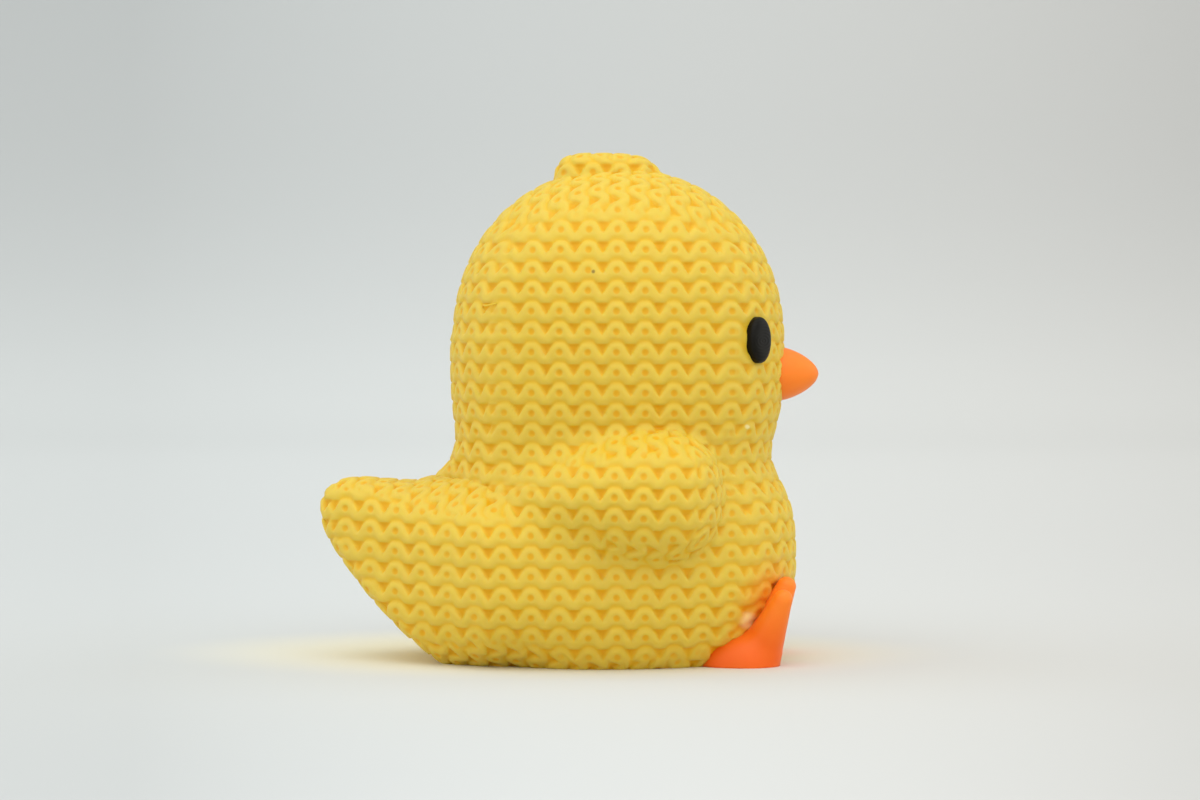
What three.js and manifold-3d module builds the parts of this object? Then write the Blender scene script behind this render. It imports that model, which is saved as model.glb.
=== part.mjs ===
// A small chick figure with a knitted look, printed in plastic as one hard body.
// The head, torso, tail, both wings and the tuft are one piece, covered in a relief of
// knitted stitches. The beak, the two eyes and the two feet are smooth and are set into it.
// Millimetres. +X is the way the beak points, +Y is the chick's left, +Z is up, floor at z = 0.

import * as THREE from 'three';
import Module from 'manifold-3d';
import { mergeVertices } from 'three/addons/utils/BufferGeometryUtils.js';

const wasm = await Module();
wasm.setup();

// Head: round in plan, domed above its widest height and nearly upright below it
const headCentreX = 7.1;
const headLength = 49;
const headWidth = 46.6;
const headWidestHeight = 47;
const headCrownRise = 25.9;
const headChinDrop = 19.5;
const headCrownPower = 2.15;
const headChinPower = 3.4;

// Neck: the upright column that shows as a crease between head and chest
const neckCentreX = 6.4;
const neckLength = 46.6;
const neckWidth = 43.6;

// Torso: the round seat of the figure, cut flat where it stands
const torsoCentreX = 4;
const torsoChestReach = 29.4;
const torsoBackReach = 22;
const torsoWidth = 47.6;
const torsoWidestHeight = 15;
const torsoShoulderRise = 19.5;
const torsoSeatDrop = 20;
const torsoShoulderPower = 2.9;
const torsoSeatPower = 2.4;

// Tail: a wedge that runs straight back. Its straight flanks draw in towards a narrow tip, its
// top rises a little to the tip, and its underside slants down to where the seat meets the floor.
const tailTipX = -37.3;
const tailTipHeight = 21.5;
const tailTipWidth = 2.6;
const tailLeastHalfWidth = 0.65;
const tailFlankSlope = 0.84;
const tailTopHeight = 26.2;
const tailTopRise = 0.09;
const tailTopBendX = -24;
const tailFootX = -22.6;
const tailFootHeight = 3.4;
const tailUnderBulge = 1.3;
const tailWidestHeight = 13;
const tailSeatRounding = 15;
const tailTopRounding = 0.8;
const tailTopPower = 4;
const tailStubX = -19;
const tailOverlap = 1.5;

// Where the back of the neck runs down onto the tail, the crease is filled out to a soft bend
const tailRootBlend = 6;
const tailRootBlendHeight = 20;
const tailRootBlendX = -14;

// Wings: one lump on each side, longer towards the tail
const wingCentreX = 8.6;
const wingCentreHeight = 24.8;
const wingFrontReach = 13.9;
const wingBackReach = 15;
const wingHeight = 20.6;
const wingStandOut = 6.2;
const wingThickness = 13;
const wingSinkIn = 13;
const wingPower = 2.3;

// Tuft: the flat lump on the crown, with a lip at its back
const tuftCentreX = 5.4;
const tuftLength = 15.6;
const tuftWidth = 12.6;
const tuftStandOut = 2.4;
const tuftSinkIn = 5;
const tuftTopPower = 3.6;
const tuftWallShare = 0.6;

// How softly the lumps run into each other
const neckBlend = 2.2;

// Stitches: rows of a zigzag yarn, with a small pit under each peak and a large one in each
// valley. They are a third of a millimetre wider than the real ones, which keeps the facets few.
const stitchWidth = 4.4;
const rowHeight = 2.93;
const ridgeRise = 0.3;
const smallPitDepth = 0.55;
const largePitDepth = 0.8;

// Beak: a cone with bulging sides and a blunt tip, in a round socket
const beakHeight = 42.6;
const beakReach = 5.5;
const beakWidth = 8.8;
const beakDepth = 8;
const beakSidePower = 1.5;
const beakTipPower = 0.6;
const beakSeat = 3;

// Eyes: flattened black domes in round sockets
const eyeHeight = 47.7;
const eyeSpacing = 25.2;
const eyeWidth = 6;
const eyeTallness = 6.9;
const eyeStandOut = 1.6;
const eyeSeat = 1.6;

// Feet: webbed, heels on the floor under the chest and three toes turned up in front of it
const footSpacing = 21.5;
const footReach = 0.2;
const heelLength = 12.4;
const heelWidth = 9.8;
const heelThickness = 12.4;
const heelAhead = 3.4;
const toeRootRadius = 3;
const toeRootSpread = 1;
const toeTipRadius = 1.45;
const toeLength = 9.4;
const outerToeLength = 8.4;
const toeLean = 23;
const toeSplay = 24;
const webThickness = 3.4;

// Space left all round each piece that is set into the body
const seatClearance = 0.3;

// Fineness of the round pieces
const roundSegments = 12;
const toeSegments = 6;
const beakSteps = 6;
const eyeSteps = 4;
const toeTipSteps = 2;

// Where the yarn lies in one stitch, in shares of the row height below the peak of its zigzag
const valleyRidgeShare = -0.15;
const smallPitShare = 0.51;
const largePitShare = 0.42;

const degrees = Math.PI / 180;
const far = 2 * headLength;
const socketOpening = headLength / 2;

// Step over which the slope of a form is taken, halvings of a search for its edge, and the
// least gauge that is divided by
const slopeStep = 0.05;
const searchTurns = 30;
const leastGauge = 1e-6;

// How far from the middle of the crown the first row starts, in rows
const crownGap = 1.6;

// Signed measure of a rounded lump: below zero inside, and close to a length near its surface.
// The radii differ on either side of the centre, and the powers make it rounder or boxier.
function lump(x, y, z, shape) {
  const dx = x - shape.x;
  const dy = y - shape.y;
  const dz = z - shape.z;
  const rx = dx > 0 ? shape.front : shape.back;
  const rz = dz > 0 ? shape.up : shape.down;
  const power = dz > 0 ? shape.powerUp : shape.powerDown;
  const flat = Math.hypot(dx / rx, dy / shape.side);
  const gauge = (flat ** power + Math.abs(dz / rz) ** power) ** (1 / power);
  return Math.hypot(dx, dy, dz) * (1 - 1 / Math.max(gauge, leastGauge));
}

// Two signed measures as one form, with the crease between them rounded over a length: where
// the measures are equal, the form stands a quarter of the length further out
function blendUnion(a, b, length) {
  const nearness = Math.max(length - Math.abs(a - b), 0) / length;
  return Math.min(a, b) - (nearness ** 2 * length) / 4;
}

const head = {
  x: headCentreX,
  y: 0,
  z: headWidestHeight,
  front: headLength / 2,
  back: headLength / 2,
  side: headWidth / 2,
  up: headCrownRise,
  down: headChinDrop,
  powerUp: headCrownPower,
  powerDown: headChinPower,
};

const torso = {
  x: torsoCentreX,
  y: 0,
  z: torsoWidestHeight,
  front: torsoChestReach,
  back: torsoBackReach,
  side: torsoWidth / 2,
  up: torsoShoulderRise,
  down: torsoSeatDrop,
  powerUp: torsoShoulderPower,
  powerDown: torsoSeatPower,
};

const crownHeight = headWidestHeight + headCrownRise;
const tuft = {
  x: tuftCentreX,
  y: 0,
  z: crownHeight - tuftSinkIn / 2,
  front: tuftLength / 2,
  back: tuftLength / 2,
  side: tuftWidth / 2,
  up: tuftStandOut + tuftSinkIn / 2,
  down: tuftSinkIn,
  powerUp: tuftTopPower,
  powerDown: torsoSeatPower,
};

function neckMeasure(x, y, z) {
  const flat = Math.hypot((x - neckCentreX) / (neckLength / 2), y / (neckWidth / 2));
  const column = Math.hypot(x - neckCentreX, y) * (1 - 1 / Math.max(flat, leastGauge));
  const below = torsoWidestHeight - z;
  const above = z - headWidestHeight;
  return Math.max(column, below, above);
}

function tailTopAt(x) {
  return tailTopHeight + tailTopRise * Math.max(tailTopBendX - x, 0);
}

// Half the width between the tail's flanks, which run on forward into the torso's sides
function tailHalfWidth(x, z) {
  const spread = tailTipWidth / 2 + (x - tailTipX) * tailFlankSlope;
  const topDrop = tailTopAt(x) + tailTopRounding - tailWidestHeight;
  const above = THREE.MathUtils.clamp((z - tailWidestHeight) / topDrop, 0, 1);
  const below = THREE.MathUtils.clamp((tailWidestHeight - z) / tailSeatRounding, 0, 1);
  const upright = (1 - above ** tailTopPower) * (1 - below ** torsoSeatPower);
  return Math.min(spread, torsoWidth / 2) * Math.sqrt(upright);
}

// How far back the tail reaches at a height: its blunt tip, then the slant below it. The bulge
// of the slant is a parabola that is fullest halfway down.
function tailUndersideAt(z) {
  const share = (tailTipHeight - z) / (tailTipHeight - tailFootHeight);
  const bulge = 4 * tailUnderBulge * Math.max(share * (1 - share), 0);
  return Math.max(tailTipX, tailTipX + (tailFootX - tailTipX) * share - bulge);
}

function tailMeasure(x, y, z) {
  const flank = Math.abs(y) - tailHalfWidth(x, z);
  return Math.max(flank, tailUndersideAt(z) - x, z - tailTopAt(x), x - torsoCentreX);
}

// Head, neck and torso as one smooth form
function uprightMeasure(x, y, z) {
  const upper = blendUnion(lump(x, y, z, head), neckMeasure(x, y, z), neckBlend);
  return blendUnion(upper, lump(x, y, z, torso), neckBlend);
}

function withTail(x, y, z, tail) {
  const rise = (z - tailRootBlendHeight) / (tailTopHeight - tailRootBlendHeight);
  const run = (tailRootBlendX + tailRootBlend - x) / tailRootBlend;
  const share = THREE.MathUtils.clamp(rise, 0, 1) * THREE.MathUtils.clamp(run, 0, 1);
  const length = neckBlend + tailRootBlend * share;
  return blendUnion(uprightMeasure(x, y, z), tail, length);
}

// The whole form under the stitches, apart from the wings and the tuft
function formMeasure(x, y, z) {
  return withTail(x, y, z, tailMeasure(x, y, z));
}

// The trunk: the same form with the tail cut off short behind its root
function trunkMeasure(x, y, z) {
  return withTail(x, y, z, Math.max(tailMeasure(x, y, z), tailStubX - x));
}

function tuftMeasure(x, y, z) {
  return lump(x, y, z, tuft);
}

function normalOf(measure, point) {
  const step = slopeStep;
  const { x, y, z } = point;
  return new THREE.Vector3(
    measure(x + step, y, z) - measure(x - step, y, z),
    measure(x, y + step, z) - measure(x, y - step, z),
    measure(x, y, z + step) - measure(x, y, z - step),
  ).normalize();
}

// Going out from a point inside a form, the place where the form ends
function edgeOf(measure, start, direction) {
  let inside = 0;
  let outside = far;
  for (let turn = 0; turn < searchTurns; turn += 1) {
    const middle = (inside + outside) / 2;
    const place = direction.clone().multiplyScalar(middle).add(start);
    if (measure(place.x, place.y, place.z) < 0) {
      inside = middle;
    } else {
      outside = middle;
    }
  }
  return direction.clone().multiplyScalar(inside).add(start);
}

// One sheet of stitches as triangles over a plane. Even columns hold the peaks of the
// zigzag and the small pits, odd columns hold its valleys and the large pits.
function stitchSheet(columns, rows) {
  const points = [];
  const perColumn = 2 * rows + 1;
  for (let column = 0; column <= columns; column += 1) {
    const peak = column % 2 === 0;
    for (let place = 0; place < perColumn; place += 1) {
      const pit = place % 2 === 1;
      const row = Math.floor(place / 2);
      const ridgeShare = peak ? 0 : valleyRidgeShare;
      const pitShare = peak ? smallPitShare : largePitShare;
      const pitDepth = peak ? smallPitDepth : largePitDepth;
      points.push({
        across: column / 2,
        down: row + (pit ? pitShare : ridgeShare),
        relief: pit ? -pitDepth : ridgeRise,
      });
    }
  }
  const triangles = [];
  for (let column = 0; column < columns; column += 1) {
    const peakFirst = column % 2 === 0;
    const peaks = (peakFirst ? column : column + 1) * perColumn;
    const valleys = (peakFirst ? column + 1 : column) * perColumn;
    for (let row = 0; row < rows; row += 1) {
      const peak = peaks + 2 * row;
      const valley = valleys + 2 * row;
      const cells = [
        [peak, peak + 1, valley + 2],
        [peak + 1, peak + 2, valley + 2],
        [peak, valley + 1, valley],
        [peak, valley + 2, valley + 1],
      ];
      for (const cell of cells) {
        triangles.push(peakFirst ? cell : [cell[0], cell[2], cell[1]]);
      }
    }
  }
  return { points, triangles };
}

function signedVolume(vertices, triangles) {
  let volume = 0;
  const corner = (index) => new THREE.Vector3().fromArray(vertices, 3 * index);
  for (const [a, b, c] of triangles) {
    volume += corner(a).dot(corner(b).cross(corner(c))) / 6;
  }
  return volume;
}

function solidFrom(vertices, triangles) {
  let faces = triangles;
  if (signedVolume(vertices, triangles) < 0) {
    faces = triangles.map(([a, b, c]) => [a, c, b]);
  }
  const mesh = new wasm.Mesh({
    numProp: 3,
    vertProperties: new Float32Array(vertices),
    triVerts: new Uint32Array(faces.flat()),
  });
  return new wasm.Manifold(mesh);
}

function solidFromGeometry(geometry) {
  const plain = geometry.index ? geometry.toNonIndexed() : geometry.clone();
  plain.deleteAttribute('normal');
  plain.deleteAttribute('uv');
  const merged = mergeVertices(plain, 1e-4);
  const triangles = [];
  const index = merged.index.array;
  for (let start = 0; start < index.length; start += 3) {
    const [a, b, c] = index.slice(start, start + 3);
    if (a !== b && b !== c && c !== a) {
      triangles.push([a, b, c]);
    }
  }
  return solidFrom(Array.from(merged.attributes.position.array), triangles);
}

// Stitches wrapped round a form: columns round an upright axis and rows from its crown down
// to below the floor. The columns are even in length along the sides and across the ends.
function columnAngle(column, sideStitches, endStitches) {
  const quarters = [endStitches, sideStitches, endStitches, sideStitches];
  let place = column;
  let quarter = 0;
  while (quarter < 3 && place >= quarters[quarter]) {
    place -= quarters[quarter];
    quarter += 1;
  }
  const share = (2 * place) / quarters[quarter] - 1;
  return quarter * 90 * degrees + Math.asin(share * Math.SQRT1_2);
}

function stitchedTower(plan) {
  const { measure, centreX, baseHeight, wallTop, sideStitches, endStitches, domeRows, wallRows } = plan;
  const rows = domeRows + wallRows;
  const stitches = 2 * (sideStitches + endStitches);
  const { points, triangles } = stitchSheet(2 * stitches, rows);
  const perColumn = 2 * rows + 1;
  const count = 2 * stitches * perColumn;
  const vertices = [];
  for (const point of points.slice(0, count)) {
    const angle = columnAngle(point.across, sideStitches, endStitches);
    const outward = new THREE.Vector3(Math.cos(angle), Math.sin(angle), 0);
    const below = point.down - domeRows;
    const height = wallTop - Math.max(below, 0) * rowHeight;
    let place = edgeOf(measure, new THREE.Vector3(centreX, 0, height), outward);
    if (below < 0) {
      const share = (point.down + crownGap) / (domeRows + crownGap);
      const start = new THREE.Vector3(centreX, 0, baseHeight).lerp(place.setZ(baseHeight), share);
      place = edgeOf(measure, start, new THREE.Vector3(0, 0, 1));
    }
    place.addScaledVector(normalOf(measure, place), point.relief);
    vertices.push(...place);
  }
  const faces = triangles.map((corners) => corners.map((corner) => corner % count));
  const middle = new THREE.Vector3(centreX, 0, baseHeight);
  const pole = edgeOf(measure, middle, new THREE.Vector3(0, 0, 1));
  vertices.push(...pole, centreX, 0, wallTop - (wallRows + 1) * rowHeight);
  for (let column = 0; column < 2 * stitches; column += 1) {
    const here = column * perColumn;
    const next = ((column + 1) % (2 * stitches)) * perColumn;
    faces.push([count, here, next]);
    faces.push([count + 1, next + perColumn - 1, here + perColumn - 1]);
  }
  return solidFrom(vertices, faces);
}

// Stitches on one face of a slab: a sheet whose height over its plane comes from a rule,
// closed by a flat back
function stitchedSlab(plan) {
  const { axis, sign, acrossAxis, downAxis, acrossStart, stitches } = plan;
  const { downStart, downStep, rows, rule, back } = plan;
  const { points, triangles } = stitchSheet(2 * stitches, rows);
  const front = [];
  const rear = [];
  for (const point of points) {
    const place = [0, 0, 0];
    place[acrossAxis] = acrossStart + point.across * stitchWidth;
    place[downAxis] = downStart + point.down * downStep;
    const height = rule(place);
    const outward = [0, 0, 0];
    outward[axis] = sign;
    for (const along of [acrossAxis, downAxis]) {
      const beside = [...place];
      beside[along] += slopeStep;
      outward[along] = (height - rule(beside)) / slopeStep;
    }
    place[axis] = sign * back;
    rear.push(...place);
    place[axis] = sign * height;
    const normal = new THREE.Vector3(...outward).normalize();
    front.push(...new THREE.Vector3(...place).addScaledVector(normal, point.relief));
  }
  const count = points.length;
  const edges = new Set();
  for (const [a, b, c] of triangles) {
    edges.add(`${a} ${b}`);
    edges.add(`${b} ${c}`);
    edges.add(`${c} ${a}`);
  }
  const faces = [...triangles];
  for (const [a, b, c] of triangles) {
    faces.push([a + count, c + count, b + count]);
  }
  for (const edge of edges) {
    const [a, b] = edge.split(' ').map(Number);
    if (!edges.has(`${b} ${a}`)) {
      faces.push([b, a, a + count]);
      faces.push([b, a + count, b + count]);
    }
  }
  return solidFrom([...front, ...rear], faces);
}

// Trunk
function trunkSolid() {
  const slope = Math.hypot(headLength / 2, headCrownRise);
  const wallTop = headWidestHeight + headCrownRise ** 2 / slope;
  const domeReach = (headLength / 2) ** 2 / slope;
  return stitchedTower({
    measure: trunkMeasure,
    centreX: headCentreX,
    baseHeight: headWidestHeight,
    wallTop,
    sideStitches: Math.round(headLength * Math.SQRT1_2 / stitchWidth),
    endStitches: Math.round(headWidth * Math.SQRT1_2 / stitchWidth),
    domeRows: Math.round(domeReach / rowHeight - crownGap),
    wallRows: Math.ceil(wallTop / rowHeight),
  });
}

// Tuft
function tuftSolid() {
  return stitchedTower({
    measure: tuftMeasure,
    centreX: tuftCentreX,
    baseHeight: tuft.z,
    wallTop: tuft.z + tuft.up * tuftWallShare,
    sideStitches: Math.round(tuftLength * Math.SQRT1_2 / stitchWidth),
    endStitches: Math.round(tuftWidth * Math.SQRT1_2 / stitchWidth),
    domeRows: 1,
    wallRows: 2,
  });
}

// Tail: stitched flanks, top and slanted underside meeting at the wedge's edges
function tailSolid() {
  const inside = tailStubX + tailOverlap;
  const stitches = Math.ceil((inside - tailTipX) / stitchWidth);
  const rootTop = tailTopHeight + tailRootBlend;
  const rows = Math.ceil(rootTop / rowHeight);
  const flank = {
    axis: 1,
    acrossAxis: 0,
    downAxis: 2,
    acrossStart: inside - stitches * stitchWidth,
    stitches,
    downStart: rows * rowHeight,
    downStep: -rowHeight,
    rows,
    rule: ([x, , z]) => Math.max(tailHalfWidth(x, Math.min(z, tailTopHeight)), tailLeastHalfWidth),
    back: -far,
  };
  const stitchesAside = Math.ceil(tailHalfWidth(inside, tailWidestHeight) / stitchWidth);
  const across = {
    acrossAxis: 1,
    acrossStart: -stitchesAside * stitchWidth,
    stitches: 2 * stitchesAside,
    downStep: -rowHeight,
  };
  const upward = new THREE.Vector3(0, 0, 1);
  const top = stitchedSlab({
    ...across,
    axis: 2,
    sign: 1,
    downAxis: 0,
    downStart: inside,
    rows: Math.ceil((inside - tailTipX) / rowHeight),
    rule: ([x, y]) => {
      const above = edgeOf(formMeasure, new THREE.Vector3(x, y, tailWidestHeight), upward);
      return THREE.MathUtils.clamp(above.z, tailTopAt(x), rootTop);
    },
    back: -far,
  });
  const under = stitchedSlab({
    ...across,
    axis: 0,
    sign: -1,
    downAxis: 2,
    downStart: rows * rowHeight,
    rows,
    rule: ([, , z]) => -tailUndersideAt(z),
    back: -inside,
  });
  const flanks = stitchedSlab({ ...flank, sign: 1 }).intersect(stitchedSlab({ ...flank, sign: -1 }));
  return flanks.intersect(top).intersect(under);
}

// Wing: a pebble on its edge, stitched on its outer face, its back sunk in the trunk
function wingSolid(side) {
  const length = wingFrontReach + wingBackReach;
  const stitches = Math.ceil(length / stitchWidth);
  const rows = Math.ceil(wingHeight / rowHeight);
  return stitchedSlab({
    axis: 1,
    sign: side,
    acrossAxis: 0,
    downAxis: 2,
    acrossStart: wingCentreX + (wingFrontReach - wingBackReach - stitches * stitchWidth) / 2,
    stitches,
    downStart: wingCentreHeight + rows * rowHeight / 2,
    downStep: -rowHeight,
    rows,
    rule: ([x, , z]) => {
      const reach = x > wingCentreX ? wingFrontReach : wingBackReach;
      const oval = Math.hypot((x - wingCentreX) / reach, (z - wingCentreHeight) / (wingHeight / 2));
      const dome = (1 - Math.min(oval, 1) ** wingPower) ** (1 / wingPower);
      return torsoWidth / 2 + wingStandOut - wingThickness * (1 - dome);
    },
    back: torsoWidth / 2 - wingSinkIn,
  });
}

function knittedForm() {
  const room = new THREE.BoxGeometry(2 * far, 2 * far, far).translate(0, 0, far / 2);
  return trunkSolid()
    .add(tuftSolid())
    .add(tailSolid())
    .add(wingSolid(1))
    .add(wingSolid(-1))
    .intersect(solidFromGeometry(room));
}

// A round solid turned about an axis: its outline runs from the axis to the axis
function turned(outline, segments) {
  return new THREE.LatheGeometry(outline.map(([r, h]) => new THREE.Vector2(r, h)), segments);
}

// Points on a quarter of an ellipse, from its rim up to its pole on the axis
function domeOutline(radius, rise, start, steps) {
  const outline = [];
  for (let step = 0; step <= steps; step += 1) {
    const angle = (step / steps) * 90 * degrees;
    const last = step === steps;
    outline.push([last ? 0 : radius * Math.cos(angle), start + rise * Math.sin(angle)]);
  }
  return outline;
}

// Beak: its axis is +Y here and is laid along +X afterwards
function beakOutline() {
  const rim = beakDepth / 2;
  const outline = [[0, -beakSeat], [rim, -beakSeat]];
  for (let step = 0; step < beakSteps; step += 1) {
    const share = Math.sin((step / beakSteps) * 90 * degrees);
    outline.push([rim * (1 - share ** beakSidePower) ** beakTipPower, beakReach * share]);
  }
  return [...outline, [0, beakReach]];
}

function socketOutline(radius, depth) {
  const wide = radius + seatClearance;
  const deep = depth + seatClearance;
  return [[0, -deep], [wide, -deep], [wide, socketOpening], [0, socketOpening]];
}

const ahead = new THREE.Vector3(1, 0, 0);
const beakRoot = edgeOf(trunkMeasure, new THREE.Vector3(headCentreX, 0, beakHeight), ahead);

function placeBeak(geometry) {
  const wide = beakWidth / beakDepth;
  return geometry
    .rotateZ(-90 * degrees)
    .scale(1, wide, 1)
    .translate(beakRoot.x, 0, beakHeight);
}

// Eyes: turned about +Y, made oval, and set square to the head where they sit
function eyeOutline() {
  const rim = eyeWidth / 2;
  return [[0, -eyeSeat], [rim, -eyeSeat], ...domeOutline(rim, eyeStandOut, 0, eyeSteps)];
}

function placeEye(geometry, side) {
  const inside = new THREE.Vector3(headCentreX, side * eyeSpacing / 2, eyeHeight);
  const root = edgeOf(trunkMeasure, inside, ahead);
  const outward = normalOf(trunkMeasure, root);
  const across = new THREE.Vector3(-outward.y, outward.x, 0).normalize();
  const upward = new THREE.Vector3().crossVectors(outward, across);
  const frame = new THREE.Matrix4().makeBasis(across, outward, upward.negate());
  frame.setPosition(...root);
  return geometry.scale(1, 1, eyeTallness / eyeWidth).applyMatrix4(frame);
}

// Foot: heel, three toes that splay from it and the web between them, cut flat below.
// With a clearance it is the hollow that the foot sits in. Across, up and ahead are its axes.
const toeTipX = torsoCentreX + torsoChestReach + footReach - toeTipRadius;
const toeRootX = toeTipX - toeLength * Math.sin(toeLean * degrees);

// A tapered toe from its flat root at the origin up along +Z to its round tip
function toeShape(length, clearance) {
  const tip = domeOutline(toeTipRadius + clearance, toeTipRadius + clearance, length, toeTipSteps);
  const outline = [[0, 0], [toeRootRadius + clearance, 0], ...tip];
  return turned(outline, toeSegments).rotateX(90 * degrees);
}

function footSolid(side, clearance) {
  const heel = new THREE.SphereGeometry(1, toeSegments, toeSegments / 2)
    .rotateX(90 * degrees)
    .scale(heelLength / 2 + clearance, heelWidth / 2 + clearance, heelThickness / 2 + clearance)
    .translate(toeRootX - heelAhead, 0, 0);
  let foot = solidFromGeometry(heel);
  for (const turn of [-1, 0, 1]) {
    const toe = toeShape(turn === 0 ? toeLength : outerToeLength, clearance)
      .rotateX(-turn * toeSplay * degrees)
      .translate(0, turn * toeRootSpread, 0)
      .rotateY(toeLean * degrees)
      .translate(toeRootX, 0, toeRootRadius);
    foot = foot.add(solidFromGeometry(toe));
  }
  const tipAcross = toeRootSpread + outerToeLength * Math.sin(toeSplay * degrees);
  const tipUp = outerToeLength * Math.cos(toeSplay * degrees);
  const outline = new THREE.Shape()
    .moveTo(0, 0)
    .lineTo(tipAcross, tipUp)
    .lineTo(0, toeLength)
    .lineTo(-tipAcross, tipUp)
    .lineTo(0, 0);
  const depth = webThickness + 2 * clearance;
  const upright = new THREE.Matrix4().makeBasis(
    new THREE.Vector3(0, 1, 0),
    new THREE.Vector3(0, 0, 1),
    new THREE.Vector3(1, 0, 0),
  );
  const web = new THREE.ExtrudeGeometry(outline, { depth, bevelEnabled: false })
    .translate(0, 0, -depth / 2)
    .applyMatrix4(upright)
    .rotateY(toeLean * degrees)
    .translate(toeRootX, 0, toeRootRadius);
  foot = foot.add(solidFromGeometry(web));
  const room = new THREE.BoxGeometry(far, far, far).translate(0, 0, far / 2 - clearance);
  return foot.intersect(solidFromGeometry(room)).translate([0, side * footSpacing / 2, 0]);
}

// Materials: hard plastic, satin on the body and smoother on the beak, eyes and feet
const yellowPlastic = new THREE.MeshStandardMaterial({ color: 0xecc94f, roughness: 0.5, metalness: 0 });
const orangePlastic = new THREE.MeshStandardMaterial({ color: 0xff8038, roughness: 0.42, metalness: 0 });
const blackPlastic = new THREE.MeshStandardMaterial({ color: 0x14110e, roughness: 0.38, metalness: 0 });

function meshFrom(solid, name, material) {
  const data = solid.getMesh();
  const geometry = new THREE.BufferGeometry();
  geometry.setAttribute('position', new THREE.BufferAttribute(data.vertProperties, 3));
  geometry.setIndex(new THREE.BufferAttribute(data.triVerts, 1));
  geometry.computeVertexNormals();
  const mesh = new THREE.Mesh(geometry, material);
  mesh.name = name;
  return mesh;
}

const chick = new THREE.Group();
let body = knittedForm();

const beakSocket = placeBeak(turned(socketOutline(beakDepth / 2, beakSeat), roundSegments));
body = body.subtract(solidFromGeometry(beakSocket));
const beak = solidFromGeometry(placeBeak(turned(beakOutline(), roundSegments)));
chick.add(meshFrom(beak, 'beak', orangePlastic));

for (const [side, hand] of [[1, 'left'], [-1, 'right']]) {
  const eyeSocket = placeEye(turned(socketOutline(eyeWidth / 2, eyeSeat), roundSegments), side);
  body = body.subtract(solidFromGeometry(eyeSocket));
  body = body.subtract(footSolid(side, seatClearance));
  const eye = solidFromGeometry(placeEye(turned(eyeOutline(), roundSegments), side));
  chick.add(meshFrom(eye, `eye_${hand}`, blackPlastic));
  chick.add(meshFrom(footSolid(side, 0), `foot_${hand}`, orangePlastic));
}

chick.add(meshFrom(body, 'knitted_body', yellowPlastic));

export default chick;
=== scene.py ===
import math
import bmesh
import bpy
import numpy as np
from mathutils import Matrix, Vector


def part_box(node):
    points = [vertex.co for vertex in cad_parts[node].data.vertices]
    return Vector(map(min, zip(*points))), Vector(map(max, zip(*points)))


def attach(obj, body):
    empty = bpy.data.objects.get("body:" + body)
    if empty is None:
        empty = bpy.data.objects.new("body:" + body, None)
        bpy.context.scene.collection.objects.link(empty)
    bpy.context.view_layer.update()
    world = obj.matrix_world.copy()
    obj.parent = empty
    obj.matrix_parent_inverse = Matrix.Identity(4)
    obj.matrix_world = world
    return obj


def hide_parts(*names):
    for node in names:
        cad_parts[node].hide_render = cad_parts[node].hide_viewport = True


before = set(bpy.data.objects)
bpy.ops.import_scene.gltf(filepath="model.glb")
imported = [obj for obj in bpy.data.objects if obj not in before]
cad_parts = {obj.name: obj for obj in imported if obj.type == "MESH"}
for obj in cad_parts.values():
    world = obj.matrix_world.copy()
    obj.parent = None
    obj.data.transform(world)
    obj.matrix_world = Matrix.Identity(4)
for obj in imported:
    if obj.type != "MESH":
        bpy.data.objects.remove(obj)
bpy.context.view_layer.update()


# Camera: half a metre off the chick's right side, level with its cheek. It looks a little
# back towards the tail and a little down, through a long lens.
mm = 0.001
camera_place = (25.6 * mm, -538 * mm, 51.7 * mm)
camera_drop = math.radians(1.39)
camera_turn = math.radians(2.26)
camera_data = bpy.data.cameras.new("side_camera")
camera_data.sensor_width = 36
camera_data.lens = 108
camera = bpy.data.objects.new("side_camera", camera_data)
camera.location = camera_place
camera.rotation_euler = (math.pi / 2 - camera_drop, 0, camera_turn)
bpy.context.scene.collection.objects.link(camera)
bpy.context.scene.camera = camera
bpy.context.scene.view_settings.view_transform = "Standard"


# Floor and backdrop: one pale matt sheet that lies flat under the chick and curves up far
# behind it, so that no horizon shows.
sheet_front = -1.6
sheet_bend_start = 0.9
sheet_bend_radius = 0.9
sheet_top = 2.6
sheet_half_width = 2.4
sheet_bend_steps = 16
sheet_left_colour = (0.765, 0.79, 0.775, 1)
sheet_right_colour = (0.79, 0.785, 0.75, 1)
sheet_colour_span = 0.15
bounce_colour = (0.96, 0.9, 0.62, 1)
bounce_at = (-0.004, 0.01)
bounce_reach = (0.058, 0.042)
bounce_share = 0.72
# How light the sheet is near the front, and how that changes between two places along Y.
sheet_near_level = 0.815
sheet_under_rise, sheet_under_span = 0.02, (-0.1, 0.12)
sheet_far_rise, sheet_far_span = 0.07, (0.15, 0.8)
sheet_back_fall, sheet_back_span = 0.18, (1, 1.42)
# Its sides are lit less. The fall widens away from one place in front, like a pool of light.
light_pool_start = (25.6 * mm, -0.54)
light_pool_near_end = 0.38
light_pool_half_width = 0.17
side_fall = 4
side_fall_with_height = 12
side_fall_in_front = 2
side_front_span = (0.05, -0.15)
side_fall_top = 0.3
left_gain = 0.3


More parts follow.
